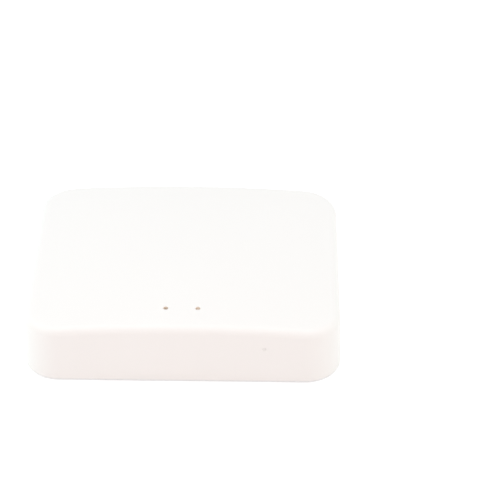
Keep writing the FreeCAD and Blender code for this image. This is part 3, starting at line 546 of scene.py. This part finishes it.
def crownedBlock(name, inset, low, shape):
    # a block with round corners and drafted walls, whose roof rises in rings to its crown
    rounding, rings = shape["edgeRound"], shape["rings"]
    lean = math.tan(math.radians(cover["draft"])) * (low - cover["low"])
    high = cover["high"] - inset * cover["roofWall"] / cover["sideWall"]
    halfWidth = cover["width"] / 2 - inset - lean
    halfDepth = cover["depth"] / 2 - inset - lean
    corner = cover["cornerRadius"] - inset
    piece = box(name, (-halfWidth, -halfDepth, low), (halfWidth, halfDepth, high))
    editing(piece)
    pick("edges", lambda edge: abs(edge.verts[0].co.z - edge.verts[1].co.z) > mm)
    bpy.ops.mesh.bevel(offset=corner * mm, segments=shape["cornerSteps"], profile=0.5, affect="EDGES")
    for half, normal in ((halfWidth, (1, 0, 0)), (halfDepth, (0, 1, 0))):
        run = half - corner
        count = max(2, round(2 * run / shape["sideStep"]))
        for number in range(1, count):
            bpy.ops.mesh.select_all(action="SELECT")
            cut = (2 * number / count - 1) * run * mm
            bpy.ops.mesh.bisect(plane_co=Vector(normal) * cut, plane_no=normal)
    for side in (1, -1):
        pick("faces", lambda face: face.normal.z * side > square)
        bpy.ops.mesh.dissolve_faces()
    narrowing = math.tan(math.radians(cover["draft"])) * (high - low)
    pick("faces", lambda face: face.normal.z > square)
    bpy.ops.transform.resize(value=(1 - narrowing / halfWidth, 1 - narrowing / halfDepth, 1))
    if rounding:
        pick("edges", lambda edge: min(vertex.co.z for vertex in edge.verts) > (high - near) * mm)
        bpy.ops.mesh.bevel(offset=rounding * mm, segments=shape["roundSteps"], profile=0.5, affect="EDGES")
    pick("faces", lambda face: face.normal.z > square and len(face.verts) > 8)
    for ring in range(rings):
        bpy.ops.mesh.extrude_region_move()
        share = (rings - 1 - ring) / (rings - ring) if ring < rings - 1 else 0.5
        bpy.ops.transform.resize(value=(share, share, 1))
    bpy.ops.mesh.merge(type="CENTER")
    leaveEditing()
    for vertex in piece.data.vertices:
        if vertex.co.z > (low + high) / 2 * mm:
            vertex.co.z -= crownDrop(vertex.co.x / mm, vertex.co.y / mm, inset) * mm
    return piece


def roundedTool(name, x, z, width, height, radius, front, back):
    # a bar with four round edges along Y, to cut the inlet's recess and mouth
    tool = box(name, (x - width / 2, front, z - height / 2), (x + width / 2, back, z + height / 2))
    editing(tool)
    pick("edges", lambda edge: abs(edge.verts[0].co.y - edge.verts[1].co.y) > mm / 2)
    bpy.ops.mesh.bevel(offset=radius * mm, segments=cover["recessSteps"], profile=0.5, affect="EDGES")
    leaveEditing()
    return tool


def wallAt(z):
    # how far the middle of the front or back wall stands from the centre at a height
    return cover["depth"] / 2 - (z - cover["low"]) * math.tan(math.radians(cover["draft"]))


def crownedWall(name, low, high, foot):
    # an upright wall under the roof, whose top follows the crown
    wall = box(name, (*low, foot), (*high, cover["high"]))
    editing(wall)
    pick("edges", lambda edge: (edge.verts[0].co - edge.verts[1].co).xy.length > 2 * cover["ribWall"] * mm)
    bpy.ops.mesh.subdivide(number_cuts=cover["ribCuts"])
    leaveEditing()
    for vertex in wall.data.vertices:
        if vertex.co.z > (foot + near) * mm:
            vertex.co.z -= (cover["roofWall"] / 2 + crownDrop(vertex.co.x / mm, vertex.co.y / mm, 0)) * mm
    return wall


def coverRibs():
    half, walls = cover["ribWall"] / 2, []
    endX = cover["width"] / 2 - cover["ribEnd"]
    endY = cover["depth"] / 2 - cover["ribEnd"]
    bossX = cover["width"] / 2 - cover["bossInset"]
    bossY = cover["depth"] / 2 - cover["bossInset"]
    reach = cover["bossInset"] - cover["gussetEnd"]
    for side in (-1, 1):
        y = side * cover["ribAcross"]
        walls.append(crownedWall("ribAcross", (-endX, y - half), (endX, y + half), cover["ribFoot"]))
        x = side * cover["ribAlong"]
        walls.append(crownedWall("ribAlong", (x - half, -endY), (x + half, endY), cover["ribFoot"]))
        for other in (-1, 1):
            x, y, foot = side * bossX, other * bossY, cover["gussetFoot"]
            ends = sorted((x, x + side * reach))
            walls.append(crownedWall("gusset", (ends[0], y - half), (ends[1], y + half), foot))
            ends = sorted((y, y + other * reach))
            walls.append(crownedWall("gusset", (x - half, ends[0]), (x + half, ends[1]), foot))
    return walls


def hollowCover(piece):
    # the core leaves the walls and the roof, and the lap leaves the rebate for the base
    low, over = cover["low"], cover["cutOver"]
    core = crownedBlock("coverCore", cover["sideWall"], low - over, coreShape)
    lap = crownedBlock("coverLap", cover["lapWall"], low - over, lapShape)
    # a turn through edit mode brings the lap's mesh up to date before it is cut flat
    editing(lap)
    leaveEditing()
    for vertex in lap.data.vertices:
        vertex.co.z = min(vertex.co.z, (low + cover["lapHeight"]) * mm)
    combine(piece, [core, lap], "DIFFERENCE")


def coverPosts(roofTop):
    # what stands inside the cover, and the holes that are cut once it stands
    posts, bores = coverRibs(), []
    over, inset = cover["cutOver"], cover["postInset"]
    bossX = cover["width"] / 2 - cover["bossInset"]
    bossY = cover["depth"] / 2 - cover["bossInset"]
    for x, y in ((-bossX, -bossY), (bossX, -bossY), (-bossX, bossY), (bossX, bossY)):
        top, foot = cover["high"] - crownDrop(x, y, 0) - inset, cover["bossFoot"]
        posts.append(rod("boss", (x, y, foot), cover["bossRadius"], top - foot))
        bores.append(rod("pilot", (x, y, foot - over), cover["pilotRadius"], cover["pilotDepth"] + over))
    soft = cover["softEdge"]
    for x in (-cover["lampX"], cover["lampX"]):
        y, foot = cover["lampY"], cover["tubeFoot"]
        ceiling = roofTop - cover["roofWall"]
        posts.append(rod("tube", (x, y, foot), cover["tubeRadius"], roofTop - inset - foot))
        bores.append(rod("tubeBore", (x, y, foot - over), cover["tubeBore"], ceiling - foot + over))
        radius = cover["lampHole"]
        hole = rod("lampHole", (x, y, foot), radius, roofTop - soft - foot)
        bores.append(flareEnd(hole, (0, 0, 1), (x, y, roofTop), (radius, radius, 1), soft,
                              lambda co: roofTop - cover["high"] + crownDrop(co.x, co.y, 0)))
    wall, x, z = wallAt(cover["buttonZ"]), cover["buttonX"], cover["buttonZ"]
    draft, sideWall = math.tan(math.radians(cover["draft"])), cover["sideWall"]
    posts.append(rod("guide", (x, inset - wall, z), cover["guideRadius"],
                     sideWall + cover["guideLength"] - inset, "Y"))
    bores.append(rod("guideBore", (x, sideWall - wall, z), cover["guideBore"], cover["guideCut"], "Y"))
    radius, soft, cut = cover["buttonHole"], cover["buttonEdge"], cover["buttonCut"]
    hole = rod("buttonHole", (x, cut - wall, z), radius, soft - cut, "Y")
    bores.append(flareEnd(hole, (0, -1, 0), (x, -wall, z), (radius, 1, radius), soft,
                          lambda co: (z - co.z) * draft))
    return posts, bores


def inletCuts():
    # the recess and the mouth of the power inlet in the back wall
    back, z, soft = wallAt(cover["inletZ"]), cover["inletZ"], cover["recessEdge"]
    draft = math.tan(math.radians(cover["draft"]))
    width, height, deep, radius = cover["recess"]
    recess = roundedTool("recess", 0, z, width, height, radius, back - deep, back - soft)
    flareEnd(recess, (0, 1, 0), (0, back, z), (width / 2, 1, height / 2), soft,
             lambda co: (z - co.z) * draft)
    width, height, deep, radius = cover["mouth"]
    return [recess, roundedTool("mouth", 0, z, width, height, radius, back - deep,
                                back + 2 * cover["cutOver"])]


def topCover():
    low = cover["low"]
    piece = crownedBlock("topCover", 0, low, cover)
    editing(piece)
    pick("edges", lambda edge: max(vertex.co.z for vertex in edge.verts) < (low + near) * mm)
    bpy.ops.mesh.bevel(offset=cover["rimRound"] * mm, segments=cover["rimSteps"], profile=0.5,
                       affect="EDGES")
    leaveEditing()
    hollowCover(piece)
    roofTop = cover["high"] - crownDrop(cover["lampX"], cover["lampY"], 0)
    posts, bores = coverPosts(roofTop)
    combine(posts[0], posts[1:], "UNION")
    combine(piece, posts[:1], "UNION")
    bores += inletCuts()
    combine(bores[0], bores[1:], "UNION")
    combine(piece, bores[:1], "DIFFERENCE")

    piece.data.materials.clear()
    piece.data.materials.append(finishes["white_case"])
    # the second slot holds the painted warm glow for the lamp hole walls
    piece.data.materials.append(lampWell())
    paintWellGlow(piece, roofTop)
    smoothOver(piece, cover["smooth"])
    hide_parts("top_cover")
    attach(piece, "case")
    print("top cover: %d faces" % len(piece.data.polygons))


def paintWellGlow(piece, roofTop):
    # the walls of the lamp holes get a warm colour that is painted light, the lamps' glow on them
    around, above = cover["wellSlack"]

    def onWellWall(face):
        centre = centreOf(face) / mm
        across = min(abs(centre.x - cover["lampX"]), abs(centre.x + cover["lampX"]))
        return (math.hypot(across, centre.y - cover["lampY"]) < cover["lampHole"] + around
                and roofTop - cover["roofWall"] + above < centre.z < roofTop - cover["softEdge"])

    editing(piece)
    found = pick("faces", onWellWall)
    piece.active_material_index = 1
    bpy.ops.object.material_slot_assign()
    leaveEditing()
    print("lamp well faces: %d" % found)


topCover()


# Base cover, a copy of its solid with a softened outline underneath

base = {"edge": 0.15, "edgeSteps": 3, "merge": 0.001, "flat": 0.4, "footReach": 6.0, "smooth": 32}


def baseCover():
    solid = frame["nodes"]["base_cover"]
    piece = bpy.data.objects.new("baseCover", solid.data.copy())
    bpy.context.collection.objects.link(piece)
    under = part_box("base_cover")[0][2]
    feetAt = [sum((Vector(corner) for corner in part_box(node)), Vector()) / 2
              for node in frame["nodes"] if node.startswith("foot_")]

    def onOutline(edge):
        # the sharp edges of the lowest face, without those of the recesses for the feet
        if max(vertex.co.z for vertex in edge.verts) > under + near * mm or edge.calc_face_angle(0) < 1:
            return False
        return min((centreOf(edge) - spot).xy.length for spot in feetAt) > base["footReach"] * mm

    editing(piece)
    bpy.ops.mesh.select_all(action="SELECT")
    bpy.ops.mesh.remove_doubles(threshold=base["merge"] * mm)
    pick("faces", lambda face: face.normal.z < -square and centreOf(face).z < under + near * mm)
    bpy.ops.mesh.dissolve_limited(angle_limit=math.radians(base["flat"]))
    found = pick("edges", onOutline)
    bpy.ops.mesh.bevel(offset=base["edge"] * mm, segments=base["edgeSteps"], profile=0.5, affect="EDGES")
    leaveEditing()
    piece.data.materials.clear()
    piece.data.materials.append(finishes["white_base"])
    smoothOver(piece, base["smooth"])
    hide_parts("base_cover")
    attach(piece, "case")
    print("base cover: %d edges softened, %d faces" % (found, len(piece.data.polygons)))


baseCover()


# Rubber feet

feet = {"round": 0.3, "dish": 0.12, "dishRadius": 2.9, "smooth": 40}


def foot(node):
    low, high = [Vector(corner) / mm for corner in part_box(node)]
    middle, radius = (low + high) / 2, (high.x - low.x) / 2
    words = node.split("_")
    profile = [(feet["dishRadius"], low.z + feet["dish"]), (feet["dishRadius"] + 2 * feet["dish"], low.z)]
    profile += roundOver(radius, low.z, feet["round"])
    piece = turned(words[0] + words[1].title() + words[2].title(), middle.x, middle.y,
                   profile + [(radius, high.z)])
    piece.data.materials.append(finishes["foot_rubber"])
    smoothOver(piece, feet["smooth"])
    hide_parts(node)
    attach(piece, "case")


for node in sorted(frame["nodes"]):
    if node.startswith("foot_"):
        foot(node)
print("feet: 4")


# Light pipes, whose domed ends stand in the lamp holes

pipe = {"stem": 1.1, "bevel": 0.25, "collar": 1.4, "collarHeight": 1.5, "seatGap": 0.1, "nose": 0.64,
        "dome": 0.16, "domeSteps": 7, "domeSpan": 6.3, "sides": 48, "smooth": 35}


def lightPipe(node, finish):
    low, high = [Vector(corner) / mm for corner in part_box(node)]
    x, y = (low.x + high.x) / 2, (low.y + high.y) / 2
    seat = cover["high"] - crownDrop(x, y, 0) - cover["roofWall"] - pipe["seatGap"]
    step = seat - pipe["collarHeight"]
    profile = [(pipe["stem"] - pipe["bevel"], low.z), (pipe["stem"], low.z + pipe["bevel"]),
               (pipe["stem"], step), (pipe["collar"], step), (pipe["collar"], seat), (pipe["nose"], seat)]
    for ring in range(pipe["domeSteps"]):
        lean = math.pi / 2 * ring / pipe["domeSpan"]
        profile.append((pipe["nose"] * math.cos(lean), high.z - pipe["dome"] * (1 - math.sin(lean))))
    piece = turned("lightPipe" + node.split("_")[2].title(), x, y, profile, pipe["sides"])
    piece.data.materials.append(finish)
    smoothOver(piece, pipe["smooth"])
    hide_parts(node)
    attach(piece, "case")


# the left pipe wears the darker copy, painted shade
lightPipe("light_pipe_left", dimPipe)
lightPipe("light_pipe_right", finishes["clear_pipe"])
print("light pipes: 2")


# Shell of the power inlet, a bent sheet whose corners are round

shell = {"halfWidth": 3.75, "shoulder": 0.95, "bend": 0.32, "bendSteps": 4, "sheet": 0.3, "lip": 0.1,
         "lipSteps": 3, "tabWidth": 2.35, "tabLength": 1.6, "tabPlace": 2.8, "smooth": 40}


def inletShell():
    low, high = [Vector(corner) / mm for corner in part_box("inlet_shell")]
    half = shell["halfWidth"]
    piece = box("inletShell", (-half, low.y, low.z), (half, high.y, high.z))
    editing(piece)

    def runsBack(edge):
        return abs(edge.verts[0].co.y - edge.verts[1].co.y) > mm

    pick("edges", lambda edge: runsBack(edge) and centreOf(edge).z < (low.z + near) * mm)
    bpy.ops.mesh.bevel(offset=shell["shoulder"] * mm, segments=1, affect="EDGES")
    pick("edges", runsBack)
    bpy.ops.mesh.bevel(offset=shell["bend"] * mm, segments=shell["bendSteps"], profile=0.5, affect="EDGES")
    pick("faces", lambda face: abs(face.normal.y) > square)
    bpy.ops.mesh.delete(type="FACE")
    leaveEditing()
    modify(piece, "SOLIDIFY", thickness=shell["sheet"] * mm, offset=-1, use_even_offset=True)
    editing(piece)
    pick("edges", lambda edge: min(vertex.co.y for vertex in edge.verts) > (high.y - near) * mm)
    bpy.ops.mesh.bevel(offset=shell["lip"] * mm, segments=shell["lipSteps"], profile=0.5, affect="EDGES")
    leaveEditing()
    tabs = []
    start = high.y - shell["tabPlace"] - shell["tabLength"] / 2
    for side in (-1, 1):
        ends = sorted((side * high.x, side * (high.x - shell["tabWidth"])))
        tabs.append(box("tab", (ends[0], start, low.z),
                        (ends[1], start + shell["tabLength"], low.z + shell["sheet"])))
    combine(piece, tabs, "UNION")
    piece.data.materials.clear()
    piece.data.materials.append(finishes["inlet_steel"])
    smoothOver(piece, shell["smooth"])
    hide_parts("inlet_shell")
    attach(piece, "case")


inletShell()
print("inlet shell")


# Contacts in the power inlet

contacts = {"count": 5, "pitch": 0.65, "width": 0.36, "thick": 0.08, "length": 2.9, "start": 0.25,
            "blade": 0.65, "edge": 0.03, "edgeSteps": 2, "smooth": 40}


def firstContact(x):
    # a flat gold strip under the blade that stands in the shell
    shellLow, shellHigh = [Vector(corner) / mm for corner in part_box("inlet_shell")]
    level = (shellLow.z + shellHigh.z) / 2 + contacts["blade"] / 3 - contacts["blade"] / 2
    tip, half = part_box("inlet_tongue")[1][1] / mm - contacts["start"], contacts["width"] / 2
    strip = box("inletContact1", (x - half, tip - contacts["length"], level - contacts["thick"]),
                (x + half, tip, level))
    editing(strip)
    pick("edges", lambda edge: centreOf(edge).z < (level - contacts["thick"] / 2) * mm)
    bpy.ops.mesh.bevel(offset=contacts["edge"] * mm, segments=contacts["edgeSteps"], affect="EDGES")
    leaveEditing()
    strip.data.materials.append(contactGold)
    smoothOver(strip, contacts["smooth"])
    return strip


def inletContacts():
    start = -(contacts["count"] - 1) / 2 * contacts["pitch"]
    strips = [firstContact(start)]
    for number in range(1, contacts["count"]):
        name = "inletContact%d" % (number + 1)
        strips.append(copyOf(strips[0], name, (number * contacts["pitch"], 0, 0)))
    for strip in strips:
        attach(strip, "case")


inletContacts()
print("inlet contacts: %d" % contacts["count"])


# Camera, floor and light

camera = {"place": (23.39, -441.25, 360.52), "turn": (52.375, -0.205, 0.765), "lens": 138.5}


def addCamera():
    eye = bpy.data.cameras.new("photoCamera")
    eye.lens = camera["lens"]
    holder = bpy.data.objects.new("photoCamera", eye)
    bpy.context.collection.objects.link(holder)
    holder.location = Vector(camera["place"]) * mm
    holder.rotation_euler = [math.radians(angle) for angle in camera["turn"]]
    bpy.context.scene.camera = holder


studio = {"floor": 0.86, "floorSize": 6, "roughness": 0.9, "shine": 0.1, "lift": 0.58, "world": 0.6}


def addFloor():
    selectNothing()
    bpy.ops.mesh.primitive_plane_add(size=studio["floorSize"], location=(0, 0, 0))
    floor = bpy.context.object
    floor.name = "floor"
    finish = Finish("floorPaper")
    tone = studio["floor"]
    finish.show(Base_Color=(tone, tone, tone, 1), Roughness=studio["roughness"],
                Specular_IOR_Level=studio["shine"])
    plain = Value(finish, finish.shader.outputs[0])
    glow = finish.node("Emission", inputs={"Color": (1, 1, 1, 1), "Strength": studio["lift"]})
    lifted = finish.node("AddShader", inputs={0: plain, 1: glow})
    mixed = finish.node("MixShader", inputs={0: finish.seenDirectly(), 1: plain, 2: lifted})
    finish.fill(finish.nodes["Material Output"], {"Surface": mixed})
    floor.data.materials.append(finish.material)


def addWorld():
    world = bpy.data.worlds.new("paleRoom")
    world.use_nodes = True
    bpy.context.scene.world = world
    tree = NodeTree(world.node_tree)
    room = tree.nodes["Background"]
    tree.fill(room, {"Color": (1, 1, 1, 1), "Strength": studio["world"]})
    white = tree.node("Background", inputs={"Color": (1, 1, 1, 1), "Strength": 1.0})
    mixed = tree.node("MixShader", inputs={0: tree.seenDirectly(), 1: Value(tree, room.outputs[0]), 2: white})
    tree.fill(tree.nodes["World Output"], {"Surface": mixed})


# only the overhead lamp shows in reflections, so that the roof doesn't glare from low down
lamps = {
    "overhead": {"place": (-60, 0, 700), "size": 1000, "power": 2.88, "colour": (0.975, 0.986, 1),
                 "reflected": True},
    "left": {"place": (-600, 0, 130), "size": 260, "power": 0.64, "colour": (0.77, 1, 0.99),
             "reflected": False},
    "right": {"place": (600, 0, 130), "size": 260, "power": 0.54, "colour": (0.94, 1, 0.915),
              "reflected": False},
    "front": {"place": (0, -620, 200), "size": 400, "power": 0.672, "colour": (1, 0.62, 0.525),
              "reflected": False},
}


def addLamp(name, lamp):
    light = bpy.data.lights.new(name, "AREA")
    light.shape = "SQUARE"
    light.size = lamp["size"] * mm
    light.energy = lamp["power"]
    light.color = lamp["colour"]
    holder = bpy.data.objects.new(name, light)
    bpy.context.collection.objects.link(holder)
    holder.location = Vector(lamp["place"]) * mm
    holder.visible_glossy = lamp["reflected"]
    look = -Vector(lamp["place"]).normalized()
    holder.rotation_euler = look.to_track_quat("-Z", "Y").to_euler()


addCamera()
addFloor()
addWorld()
for name, lamp in lamps.items():
    addLamp(name, lamp)
bpy.context.scene.view_settings.view_transform = "Standard"
print("camera, floor and %d lamps" % len(lamps))
